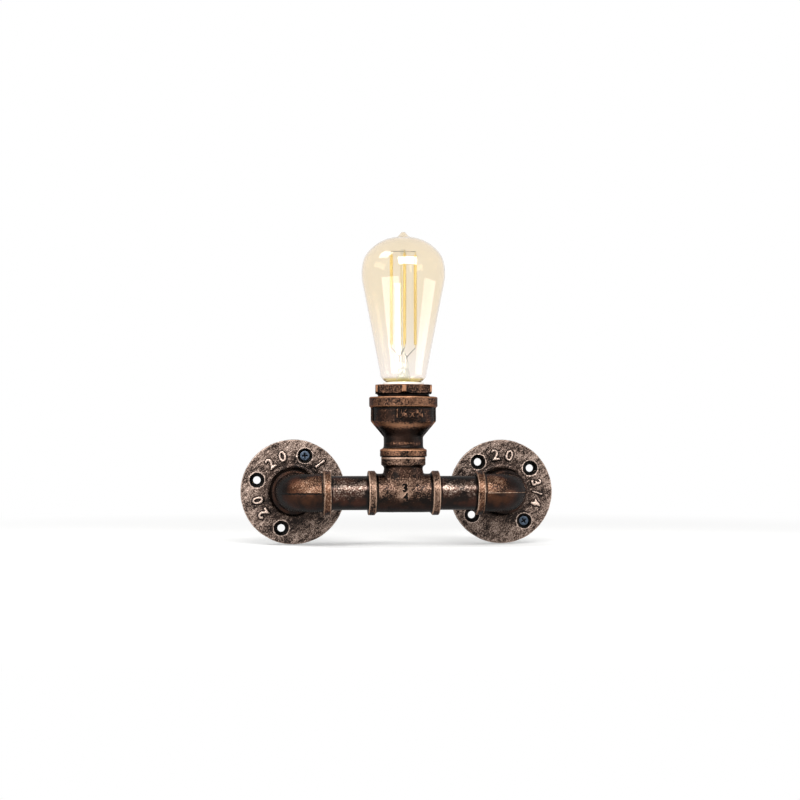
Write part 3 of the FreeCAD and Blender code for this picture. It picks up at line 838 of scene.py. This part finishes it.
def level_pipe(side_name, side):
    """Length of pipe between an elbow and the tee, open right through."""
    inner = TEE_REACH - THREAD_DEPTH
    outer = HALF_SPACING - ELBOW_REACH + THREAD_DEPTH
    # Rings 0.6 mm apart hold the wear of the length that shows.
    shown = [(PIPE_R, TEE_REACH + step * 0.6) for step in range(48)]
    pipe = drawn_up(side_name + "_pipe_length", [
        (PIPE_R - 0.8, inner), (PIPE_R, inner + 0.8), *shown,
        (PIPE_R, outer - 0.8), (PIPE_R - 0.8, outer),
    ], FINE_ROUND)
    bore = [(PIPE_BORE_R, inner - PAST), (PIPE_BORE_R, outer + PAST)]
    cut(pipe, drawn_up("bore", bore, FINE_ROUND))
    smooth(pipe)
    settle(pipe, turn=(0, 90 * side, 0), place=(0, -PIPE_DEPTH, 0))
    rub(pipe, pipe_wear)
    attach(pipe, FRAME_BODY)
    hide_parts(side_name + "_pipe")
    dress(pipe, PIPE_STEEL)


# ---- tee

def half_run(sign):
    """Rings of the tee's run from one mouth inwards."""
    band_foot = TEE_REACH - BAND_W
    rings = [
        (BAND_R - BAND_EDGE, TEE_REACH),
        (BAND_R, TEE_REACH - BAND_EDGE),
        (BAND_R, band_foot + BAND_EDGE),
        (BAND_R - BAND_EDGE, band_foot),
        (TEE_BODY_R + BAND_FLARE, band_foot),
        (TEE_BODY_R, band_foot - BAND_FLARE),
    ]
    return [(radius, sign * height) for radius, height in rings]


def tee_pattern(name):
    """Run along X and branch along Z, its neck swept into the run, with a band at each mouth."""
    run = settle(drawn_up(name, half_run(-1) + half_run(1)[::-1]), turn=(0, 90, 0))
    band_foot = TEE_REACH - BAND_W - 0.6
    branch = drawn_up("branch", [
        (26.5, TEE_NECK_R, 2.0),
        (25.0, TEE_NECK_R, 4.0),
        (22.8, TEE_NECK_R, 6.6),
        (21.0, TEE_NECK_R, 9.0),
        (19.0, TEE_NECK_R, 11.0),
        (17.6, TEE_NECK_R, 12.6),
        (16.6, TEE_NECK_R, 14.2),
        (16.0, TEE_NECK_R, 15.6),
        (TEE_NECK_R, TEE_NECK_R, 18.5),
        (TEE_NECK_R, band_foot - BAND_FLARE),
        (TEE_NECK_R + BAND_FLARE, band_foot),
        (BAND_R - BAND_EDGE, band_foot),
        (BAND_R, band_foot + BAND_EDGE),
        (BAND_R, TEE_REACH + 0.3),
        (BAND_R - 0.4, TEE_REACH + 0.7),
    ])
    return joined(run, branch)


def on_tee_mark(point):
    return abs(point.x) < 5 and abs(point.z) < 9 and point.y < -TEE_BODY_R - 0.1


def tee_wear(point):
    """Bright band edges, painted shade at their feet, black numerals on rubbed copper and painted
    glint.
    """
    run_foot = TEE_REACH - BAND_W
    branch_foot = run_foot - 0.6
    along_run = abs(point.x)
    if on_band(along_run, math.hypot(point.y, point.z), TEE_REACH, TEE_BODY_R):
        return BRIGHT if on_band_edge(along_run, TEE_REACH) else 0.3 * brushed_and_lit_side(point)
    # Painted shade in the crease at the band's foot.
    if run_foot - 1.8 < along_run < run_foot:
        return CREASE_SHADE
    # Painted shade in the joint under the socket.
    if point.z > TEE_REACH - 0.1:
        return END_FACE
    if point.z > branch_foot - 0.6 and math.hypot(point.x, point.y) > TEE_NECK_R + 0.8:
        return RISER_EDGE if TEE_REACH - 1.6 < point.z < TEE_REACH - 0.3 else RISER_FACE
    # Painted shade at the foot of the branch's band.
    if branch_foot - 1.5 < point.z < branch_foot:
        return -0.6
    if on_tee_mark(point):
        return BLACK
    if point.z >= 12:
        return -0.05
    # A brighter patch round the numerals: rubbed copper, partly painted glint.
    glint_and_rub_patch = max(0.0, 1 - (point.x / 7) ** 2 - (point.z / 9) ** 2) if point.y < 0 else 0.0
    return brushed_and_lit_body(point, least=-0.45, gain=0.6) + 0.4 * glint_and_rub_patch


def pipe_tee():
    marks = []
    tee = tee_pattern("tee_casting")
    for text, x, z in (("3", -0.3, 4.0), ("4", 0.3, -3.2)):
        place = (x, -TEE_BODY_R + 0.25, z)
        marks.append(settle(cast_mark(text, 8.8, rise=1.5), turn=(90, 0, 0), place=place))
    joined(tee, *marks)
    cast(tee, rounding=2, grain=0.25, swell=0.3)
    inner = TEE_REACH - THREAD_DEPTH + PAST
    passage = drawn_up("passage", [(CAST_PASSAGE_R, -inner), (CAST_PASSAGE_R, inner)])
    machine(
        tee,
        settle(screwed_mouth(TEE_REACH), turn=(0, 90, 0)),
        settle(screwed_mouth(TEE_REACH), turn=(0, -90, 0)),
        screwed_mouth(TEE_REACH),
        settle(passage, turn=(0, 90, 0)),
        drawn_up("passage", [(CAST_PASSAGE_R, 0), (CAST_PASSAGE_R, inner)]),
    )
    rub(tee, tee_wear)
    settle(tee, place=(0, -PIPE_DEPTH, 0))
    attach(tee, FRAME_BODY)
    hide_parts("tee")
    dress(tee, TEE_IRON)


# ---- reducing socket

SOCKET_TOP = SOCKET_Z + SOCKET_H
SOCKET_BAND_LOW = SOCKET_TOP - 8.3
SOCKET_NECK_R = 15.65
SOCKET_BELL_R = 24.2
SOCKET_BAND_R = 27.0
SOCKET_RINGS = (
    (18.2, SOCKET_Z - 0.4),
    (18.6, SOCKET_Z),
    (18.6, SOCKET_Z + 5.1),
    (18.1, SOCKET_Z + 5.8),
    (16.9, SOCKET_Z + 6.2),
    (16.0, SOCKET_Z + 7.0),
    (SOCKET_NECK_R, SOCKET_Z + 8.2),
    (SOCKET_NECK_R, SOCKET_Z + 15.3),
    (16.1, SOCKET_Z + 16.6),
    (17.1, SOCKET_Z + 18.0),
    (22.8, SOCKET_Z + 24.9),
    (23.9, SOCKET_Z + 26.5),
    (SOCKET_BELL_R, SOCKET_Z + 28.2),
    (SOCKET_BELL_R, SOCKET_BAND_LOW - 1.0),
    (SOCKET_BELL_R + 1.0, SOCKET_BAND_LOW),
    (SOCKET_BAND_R - BAND_EDGE, SOCKET_BAND_LOW),
    (SOCKET_BAND_R, SOCKET_BAND_LOW + BAND_EDGE),
    (SOCKET_BAND_R, SOCKET_TOP - BAND_EDGE),
    (SOCKET_BAND_R - BAND_EDGE, SOCKET_TOP),
)
SOCKET_CHAMBER = (
    (PIPE_R + CHAMFER + PAST, SOCKET_Z - PAST),
    (PIPE_R, SOCKET_Z + CHAMFER),
    (PIPE_R, SOCKET_Z + 13.8),
    (12.0, SOCKET_Z + 14.2),
    (12.0, SOCKET_Z + 17.1),
    (18.6, SOCKET_Z + 23.1),
    (18.6, SOCKET_Z + 28.3),
    (BUSHING_THREAD_R, SOCKET_Z + 28.3),
    (BUSHING_THREAD_R, SOCKET_TOP - CHAMFER),
    (BUSHING_THREAD_R + CHAMFER + PAST, SOCKET_TOP + PAST),
)
# Text, size, and degrees round the bell from its front.
SOCKET_NUMERALS = (("1", 9.0, -17.0), ("¼", 9.0, -4.0), ("x", 7.5, 11.0), ("¾", 9.0, 26.0))


def socket_rib():
    """One gripping rib on the side of the bell, fading out down the cone."""
    rib = bar("rib", (10.0, 3.0, 12.0), (20.8, 0, SOCKET_BAND_LOW - 5.0))
    edit_faces(rib, looks_down)
    down_cone = (-6.4 * MM, 0, -12.0 * MM)
    bpy.ops.mesh.extrude_region_move(TRANSFORM_OT_translate={"value": down_cone})
    bpy.ops.transform.resize(value=(0.3, 0.8, 1))
    faces_out()
    leave()
    return rib


def mark_on_bell(text, size, degrees):
    """A numeral on the front of the bell."""
    place = on_circle(SOCKET_BELL_R - 0.15, degrees - 90, SOCKET_Z + 32.8)
    upright = settle(cast_mark(text, size, rise=1.0), turn=(90, 0, 0))
    return settle(upright, turn=(0, 0, degrees), place=place)


def on_socket_mark(point):
    in_row = SOCKET_Z + 28.4 < point.z < SOCKET_Z + 37.4 and abs(point.x) < 20 and point.y < 0
    return in_row and math.hypot(point.x, point.y) > SOCKET_BELL_R + 0.06


def socket_wear(point):
    """Bands rubbed with bright edges, and a worn line round the bell's lower shoulder.

    The line is lowest in front and behind. A thin painted highlight shows in front at the neck's
    foot. The band's foot and the end face are darkened as painted shade.
    """
    reach = math.hypot(point.x, point.y)
    if point.z > SOCKET_BAND_LOW - 0.5 and reach > SOCKET_BELL_R + 0.6:
        on_edge = point.z > SOCKET_TOP - 1.3 or point.z < SOCKET_BAND_LOW + 0.9
        return BRIGHT if on_edge else 0.22
    # Painted shade in the crease at the band's foot.
    if SOCKET_BAND_LOW - 1.8 < point.z < SOCKET_BAND_LOW:
        return CREASE_SHADE
    # Painted shade in the joint on the tee.
    if point.z < SOCKET_Z + 0.35:
        return END_FACE
    if point.z < SOCKET_Z + 6.4:
        return RISER_EDGE if SOCKET_Z + 4.6 < point.z else RISER_FACE
    if point.z < SOCKET_Z + 8.6:
        return SHADED
    if on_socket_mark(point):
        return 0.24
    worn_at = SOCKET_Z + 25.6 - 1.6 * abs(point.y) / max(reach, 1.0)
    shoulder = 0.8 * (1 - abs(point.z - worn_at) / 2.8)
    in_front = max(0.0, -point.y / max(reach, 1.0))
    # A thin painted highlight across the front of the neck's foot.
    neck_foot_highlight = 0.25 * in_front ** 2 - abs(point.z - SOCKET_Z - 10.2) / 3.0
    return max(-0.45 if point.z < worn_at else -0.15, shoulder, neck_foot_highlight)


def reducing_socket():
    socket = drawn_up("reducing_socket_casting", SOCKET_RINGS)
    ribs = [socket_rib(), settle(socket_rib(), turn=(0, 0, 180))]
    joined(socket, *ribs, *[mark_on_bell(*numeral) for numeral in SOCKET_NUMERALS])
    cast(socket, rounding=2)
    machine(socket, drawn_up("inside", SOCKET_CHAMBER))
    rub(socket, socket_wear, on_socket_mark, margin=0.9)
    settle(socket, place=(0, -PIPE_DEPTH, 0))
    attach(socket, FRAME_BODY)
    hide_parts("reducing_socket")
    dress(socket, SOCKET_IRON)


# ---- hexagon bushing

HEX_CORNER_R = HEX_ACROSS / 2 / math.cos(math.pi / 6)


def bushing_wear(point):
    """Corners and the top edge are worn; the thread under the head is dark, as painted shade."""
    # Painted shade under the head.
    if point.z < HEX_Z + 0.2:
        return CREASE_SHADE
    if math.hypot(point.x, point.y) > HEX_CORNER_R - 1.0:
        return BRIGHT
    return 0.5 if point.z > HEX_TOP - 0.9 else 0.1


def hex_bushing():
    """Hexagon head with its corners turned off, above a barrel with the thread that shows."""
    deselect()
    bpy.ops.mesh.primitive_cylinder_add(
        vertices=6, radius=HEX_CORNER_R * MM, depth=(HEX_TOP - HEX_Z) * MM,
        location=(0, 0, (HEX_TOP + HEX_Z) / 2 * MM), rotation=(0, 0, math.radians(HEX_TURN)),
    )
    bushing = named("hex_bushing_casting")
    combine(bushing, "INTERSECT", drawn_up("rounded", [
        (HEX_CORNER_R - 2.4, HEX_Z - 0.01),
        (HEX_CORNER_R + 0.2, HEX_Z + 1.8),
        (HEX_CORNER_R + 0.2, HEX_TOP - 1.2),
        (HEX_CORNER_R - 1.9, HEX_TOP + 0.01),
    ]), solver="EXACT")
    barrel = drawn_up("barrel", [
        (BUSHING_THREAD_R - 1.5, BUSHING_END_Z),
        (BUSHING_THREAD_R - 0.8, BUSHING_END_Z + 0.8),
        (BUSHING_THREAD_R - 0.8, HEX_Z + 1.0),
    ])
    thread = helix_ridge(
        BUSHING_THREAD_R, section_r=1.3, corners=3, pitch=BUSHING_PITCH, turns=3,
        low=SOCKET_TOP - 4.0,
    )
    joined(bushing, barrel, thread)
    cast(bushing, voxel=0.35, rounding=1, grain=0.15, dents=0.08, swell=0.15)
    machine(bushing, drawn_up("bore", [
        (BUSHING_BORE_R, BUSHING_END_Z - PAST),
        (BUSHING_BORE_R, HEX_TOP - 0.6),
        (BUSHING_BORE_R + 1.6, HEX_TOP + PAST),
    ]))
    rub(bushing, bushing_wear)
    settle(bushing, place=(0, -PIPE_DEPTH, 0))
    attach(bushing, FRAME_BODY)
    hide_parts("hex_bushing")
    dress(bushing, SOCKET_IRON)


# ---- wall screws

SHANK_R = 2.4
SCREW_HEAD_R = 3.75
HEAD_Z = FLANGE_PLATE - SINK_MOUTH_R + SCREW_HEAD_R + 0.1


def wall_screw(name, side, degrees, lean):
    """Countersunk screw with a cross recess turned to lean, sunk part of the way down its hole."""
    screw = drawn_up(name, [
        (SHANK_R, 0), (SHANK_R, HEAD_Z - 1.5),
        (SCREW_HEAD_R, HEAD_Z - 0.12), (SCREW_HEAD_R, HEAD_Z),
    ], SCREW_ROUND)
    for turn in (0, 90):
        slot = bar("recess", (5.0, 1.2, 2.4), (0, 0, HEAD_Z - 1.1))
        edit_faces(slot, looks_down)
        bpy.ops.transform.resize(value=(0.35, 0.7, 1))
        leave()
        cut(screw, settle(slot, turn=(0, 0, turn + lean)))
    modify(screw, "BEVEL", width=0.08 * MM, segments=2, limit_method="ANGLE")
    smooth(screw)
    # Black below the top of the head: painted shade in the countersink.
    rub(screw, lambda point: BRIGHT if point.z > HEAD_Z - 0.25 else BLACK)
    across, up, _ = on_circle(SCREW_CIRCLE_R, degrees, 0)
    settle(screw, turn=(90, 0, 0), place=(side * HALF_SPACING + across, 0, up))
    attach(screw, FRAME_BODY)
    dress(screw, SCREW_STEEL)


# ---- lampholder, and the lamp's thread in its shell and on the cap

def contact_hole(low, high, y):
    """Cutter for a contact screw's hole."""
    rings = [(CONTACT_HOLE_R, low), (CONTACT_HOLE_R, high)]
    return settle(drawn_up("hole", rings, SMALL_ROUND), place=(0, y, 0))


def rolled_plug(name, rings, crest_r, turns, low):
    """Round plug with the lamp's thread on it, its ridges as round as rolling leaves them."""
    plug = drawn_up(name, rings)
    joined(plug, helix_ridge(
        crest_r, section_r=1.35, corners=16, pitch=LAMP_PITCH, turns=turns, low=low
    ))
    fuse(plug, voxel=0.3, rounding=3)
    return plug


def porcelain_cup():
    """Cup with its clamping collar, glazed, with the two terminal pockets under its floor."""
    cup = drawn_up("porcelain_cup", [
        (9.5, 47.0), (15.9, 54.0), (15.9, 57.5), (19.2, 57.5), (19.2, 60.5), (HOLDER_R, 60.5),
        (HOLDER_R, HOLDER_TOP - 0.5), (HOLDER_R - 0.15, HOLDER_TOP - 0.15),
        (HOLDER_R - 0.5, HOLDER_TOP), (14.6, HOLDER_TOP), (14.25, HOLDER_TOP - 0.15),
        (14.1, HOLDER_TOP - 0.5), (14.1, 55.5),
    ], FINE_ROUND)
    for y in (-TERMINAL_Y, TERMINAL_Y):
        cut(cup, bar("pocket", (7.6, 5.0, 7.0), (0, y, 49.5)), contact_hole(50.0, 57.0, y))
    smooth(cup)
    settle(cup, place=(0, -PIPE_DEPTH, 0))
    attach(cup, FRAME_BODY)
    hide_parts("lampholder_body")
    dress(cup, PORCELAIN)


def holder_shell():
    """Shell with its thread rolled outwards, and the tab for the neutral contact screw."""
    shell = drawn_up("holder_shell", [(14.05, 55.5), (14.05, 83.9), (13.9, 84.2)], FINE_ROUND)
    inside = [(13.4, 54.0), (13.4, 83.6), (13.7, 84.6), (13.7, 86.0)]
    cut(shell, rolled_plug("thread", inside, crest_r=13.9, turns=7, low=57.6))
    combine(shell, "UNION", bar("tab", (5.0, 10.2, 0.5), (0, -8.7, 55.75)))
    cut(shell, contact_hole(55.0, 57.0, -TERMINAL_Y))
    smooth(shell, degrees=50)
    settle(shell, place=(0, -PIPE_DEPTH, 0))
    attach(shell, FRAME_BODY)
    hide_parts("screw_shell")
    dress(shell, BRASS)


def lamp_cap():
    """Drawn cap: its foot rolled in round the black glass, its thread, and a plain collar."""
    cap = rolled_plug("lamp_cap", [
        (9.5, 61.0), (11.7, 62.0), (12.6, 64.0), (12.7, 65.2), (12.7, 81.6), (13.1, 82.4),
        (13.1, 85.8), (12.9, 86.0),
    ], crest_r=13.2, turns=4, low=66.6)
    inside = [(9.6, 60.0), (9.6, 62.0), (11.3, 62.9), (12.5, 65.3), (12.5, 87.0)]
    cut(cap, drawn_up("inside", inside))
    smooth(cap, degrees=50)
    settle(cap, place=(0, -PIPE_DEPTH, 0))
    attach(cap, LAMP_BODY)
    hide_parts("bulb_cap")
    dress(cap, BRASS)


# ---- the lamp's glass

GLASS_WALL = 0.8
GLASS_FOOT_Z = 80.0
NECK_R = 12.5
# Points of its outline, as (radius, height).
NECK_END = (13.4, 86.5)
TAPER_FOOT = (18.3, 94.0)
TAPER_HEAD = (31.5, 161.5)
DOME_LOW = (31.79, 180.64)
DOME_MIDDLE = (28.74, 187.39)
DOME_END = (8.0, 199.9)
TIP_LOW = (2.2, 203.6)


def straight_rings(start, end, steps):
    """Rings along the line between two (radius, height) points, the first left out."""
    return [
        [low + (high - low) * step / steps for low, high in zip(start, end)]
        for step in range(1, steps + 1)
    ]


def arc_rings(start, middle, end, steps):
    """Rings along the arc through three (radius, height) points, the first left out."""
    ax, ay = start
    bx, by = middle
    cx, cy = end
    a_square = ax * ax + ay * ay
    b_square = bx * bx + by * by
    c_square = cx * cx + cy * cy
    double = 2 * (ax * (by - cy) + bx * (cy - ay) + cx * (ay - by))
    x = (a_square * (by - cy) + b_square * (cy - ay) + c_square * (ay - by)) / double
    y = (a_square * (cx - bx) + b_square * (ax - cx) + c_square * (bx - ax)) / double
    radius = math.hypot(ax - x, ay - y)
    first = math.atan2(ay - y, ax - x)
    last = math.atan2(cy - y, cx - x)
    turn = (last - first + math.pi) % (2 * math.pi) - math.pi
    angles = [first + turn * step / steps for step in range(1, steps + 1)]
    return [(x + radius * math.cos(angle), y + radius * math.sin(angle)) for angle in angles]


def lamp_glass():
    """Neck, shoulder, long taper, dome and sealed tip, blown to its wall and open at the neck."""
    glass = drawn_up("lamp_glass", [
        (NECK_R, GLASS_FOOT_Z), (NECK_R, 86.0), NECK_END,
        *arc_rings(NECK_END, (16.8, 89.2), TAPER_FOOT, 8),
        *straight_rings(TAPER_FOOT, TAPER_HEAD, 12),
        *arc_rings(TAPER_HEAD, (32.76, 171.7), DOME_LOW, 12),
        *arc_rings(DOME_LOW, (30.62, 184.17), DOME_MIDDLE, 8),
        *arc_rings(DOME_MIDDLE, (19.62, 195.72), DOME_END, 14),
        *arc_rings(DOME_END, (3.7, 201.9), TIP_LOW, 6),
        (1.4, 204.3), (0.5, 204.58),
    ], FINE_ROUND)
    low = (GLASS_FOOT_Z + 0.5) * MM
    edit_faces(glass, lambda face: looks_down(face) and face.center.z < low)
    bpy.ops.mesh.delete(type="FACE")
    leave()
    modify(glass, "SOLIDIFY", thickness=GLASS_WALL * MM, offset=-1.0, use_even_offset=True)
    pick(glass)
    bpy.ops.object.shade_smooth()
    settle(glass, place=(0, -PIPE_DEPTH, 0))
    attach(glass, LAMP_BODY)
    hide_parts("bulb_glass")
    dress(glass, AMBER_GLASS)


# ---- camera, floor and light

CAMERA_PLACE = (-0.1237, -1.2618, 0.030)
CAMERA_TILT = 92.0
CAMERA_PAN = -5.7
LENS = 70.2
SENSOR_WIDTH = 36
FLOOR_SIZE = 8
FLOOR_GAP = 0.0002
# Name, place, point aimed at, width, height and power.
SOFTBOXES = (
    ("wide", (0.10, -0.92, 0.62), (0, -0.05, 0.08), 0.9, 0.34, 11.5),
    ("high_left", (-0.66, -0.29, 0.86), (0, -0.05, 0.10), 0.5, 0.5, 4.6),
    # The low ones show as two windows in the lamp's glass.
    ("low_left", (-0.285, -0.355, 0.03), (0, -0.05, 0.13), 0.40, 0.16, 0.65),
    ("low_right", (0.385, -0.15, 0.03), (0, -0.05, 0.13), 0.32, 0.16, 0.4),
)


def set_camera():
    """Camera 1.26 m off the wall, a little to the left and near the flanges' height."""
    data = bpy.data.cameras.new("camera")
    data.lens = LENS
    data.sensor_width = SENSOR_WIDTH
    camera = bpy.data.objects.new("camera", data)
    bpy.context.scene.collection.objects.link(camera)
    camera.location = CAMERA_PLACE
    camera.rotation_euler = (math.radians(CAMERA_TILT), 0, math.radians(CAMERA_PAN))
    bpy.context.scene.camera = camera


def softbox(name, place, aim, width, height, power):
    data = bpy.data.lights.new(name, "AREA")
    data.shape = "RECTANGLE"
    data.size = width
    data.size_y = height
    data.energy = power
    light = bpy.data.objects.new(name, data)
    bpy.context.scene.collection.objects.link(light)
    light.location = place
    light.rotation_euler = (Vector(aim) - Vector(place)).to_track_quat("-Z", "Y").to_euler()


def shown_rays(owner):
    """1 for what the camera, a gloss or a glass sees, 0 for light that falls on things."""
    rays = add_node(owner, "ShaderNodeLightPath").outputs
    seen = add_node(owner, "ShaderNodeMath", {
        0: rays["Is Camera Ray"], 1: rays["Is Glossy Ray"],
    }, operation="MAXIMUM").outputs["Value"]
    return add_node(owner, "ShaderNodeMath", {
        0: seen, 1: rays["Is Transmission Ray"],
    }, operation="MAXIMUM").outputs["Value"]


def set_floor():
    """Pale floor under the flanges' rims, fading to white away from the lights."""
    deselect()
    bpy.ops.mesh.primitive_plane_add(
        size=FLOOR_SIZE, location=(0, 0, -FLANGE_R * MM - FLOOR_GAP)
    )
    floor = named("floor")
    pale, place = new_material("pale floor")
    away = add_node(
        pale, "ShaderNodeVectorMath", {0: place}, operation="LENGTH").outputs["Value"]
    far = remap(pale, away, 0.15, 0.75, ease="SMOOTHSTEP")
    glow = add_node(pale, "ShaderNodeMath", {
        0: remap(pale, far, 0.0, 1.0, 0.22, 1.0), 1: shown_rays(pale),
    }, operation="MULTIPLY").outputs["Value"]
    finish_surface(pale, {
        "Base Color": blend(pale, far, "#efefee", "#000000"),
        "Roughness": 0.9,
        "Specular IOR Level": 0.0,
        "Emission Color": linear("#ffffff"),
        "Emission Strength": glow,
    })
    dress(floor, pale)


def set_surround():
    """White world, which lights things less than it shows."""
    world = bpy.data.worlds.new("surround")
    bpy.context.scene.world = world
    world.use_nodes = True
    feed(world, world.node_tree.nodes["Background"], {
        "Color": linear("#ffffff"),
        "Strength": remap(world, shown_rays(world), 0.0, 1.0, 0.4, 1.0),
    })


# ---- making it all

set_camera()
set_floor()
set_surround()
for light in SOFTBOXES:
    softbox(*light)

left_marks = [mark_on_plate(*numeral) for numeral in LEFT_NUMERALS]
left_marks.append(dash_on_plate(31.2, 46, 37))
right_marks = [mark_on_plate(*numeral) for numeral in RIGHT_NUMERALS]
wall_flange("left", -1, LEFT_FIRST_HOLE, left_marks)
wall_flange("right", 1, RIGHT_FIRST_HOLE, right_marks)
for side_name, side in (("left", -1), ("right", 1)):
    pipe_elbow(side_name, side)
    level_pipe(side_name, side)
pipe_tee()
reducing_socket()
hex_bushing()
porcelain_cup()
holder_shell()
lamp_cap()
lamp_glass()
wall_screw("left_wall_screw", -1, LEFT_FIRST_HOLE, 4)
wall_screw("right_wall_screw", 1, RIGHT_FIRST_HOLE + 270, 33)

for material, nodes in (
    (PIPE_STEEL, ("left_flange_nipple", "right_flange_nipple", "riser_nipple")),
    (BRASS, ("centre_contact", "live_terminal", "neutral_terminal")),
    (ZINC, ("earth_tag_washer", "contact_screws", "terminal_clamp_screws")),
    (FIBRE, ("cushion_ring",)),
    (BROWN_SLEEVE, ("live_lead",)),
    (BLUE_SLEEVE, ("neutral_lead",)),
    (EARTH_SLEEVE, ("earth_lead",)),
    (BLACK_GLASS, ("cap_insulator",)),
    (SOLDER, ("solder_tip",)),
    (CLEAR_GLASS, ("glass_stem",)),
    (PHOSPHOR, ("led_filaments",)),
    (NICKEL, ("lead_in_wires", "top_wires")),
    (BOARD, ("lamp_driver",)),
):
    for node in nodes:
        dress(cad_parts[node], material)

bpy.context.scene.view_settings.view_transform = "Standard"
